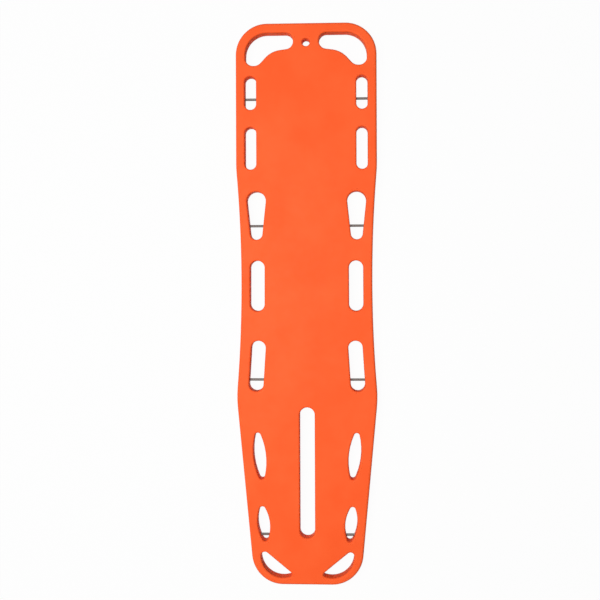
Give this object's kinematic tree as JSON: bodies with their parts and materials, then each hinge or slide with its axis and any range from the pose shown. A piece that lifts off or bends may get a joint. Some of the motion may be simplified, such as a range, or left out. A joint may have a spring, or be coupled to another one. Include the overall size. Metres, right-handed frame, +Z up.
{
  "type": "spine board",
  "caption": "Long flat rescue board with rounded corners, hand openings along both sides, pinned strap openings, corner grips and a slot between the legs.",
  "frame": {"origin": "on the ground under the middle of the board, which lies on its runners", "axes": "+Y along the board to its head end, +X to its right seen from above, +Z up out of the patient side"},
  "size_m": [0.463, 1.84, 0.05],
  "materials": {
    "shell": "moulded orange polyethylene with a fine grain",
    "pin": "dark glass-filled nylon bar",
    "foam": "rigid closed-cell foam",
    "plug": "orange polyethylene plug"
  },
  "bodies": {
    "root": {"board_shell": "shell", "foam_core": "foam", "fill_plug": "plug", "vent_plug": "plug", "shoulder_pin_right": "pin", "shoulder_pin_left": "pin", "rib_pin_right": "pin", "rib_pin_left": "pin", "thigh_pin_right": "pin", "thigh_pin_left": "pin", "shin_pin_right": "pin", "shin_pin_left": "pin"}
  },
  "joints": []
}
